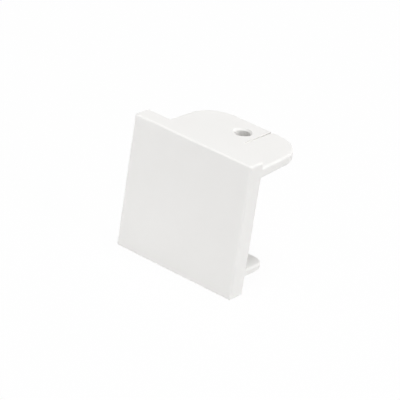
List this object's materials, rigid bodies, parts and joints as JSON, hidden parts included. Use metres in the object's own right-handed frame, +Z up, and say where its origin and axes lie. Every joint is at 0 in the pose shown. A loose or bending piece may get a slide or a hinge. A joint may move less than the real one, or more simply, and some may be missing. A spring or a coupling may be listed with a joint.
{
  "type": "rail end cap",
  "caption": "Moulded plastic end cap that closes the end of a rail: a square front plate with an upper tongue, pierced by a screw hole, and a shorter lower lug that slide into the rail.",
  "frame": {"origin": "centre of the plate's rear face, which seats on the end of the rail", "axes": "+X across the rail, to the right seen from the front; +Y from the plate into the rail; +Z up, towards the tongue with the screw hole"},
  "size_m": [0.036, 0.027, 0.036],
  "materials": {
    "white_plastic": "satin injection-moulded white plastic, lightly textured"
  },
  "bodies": {
    "root": {"end_cap": "white_plastic"}
  },
  "joints": []
}
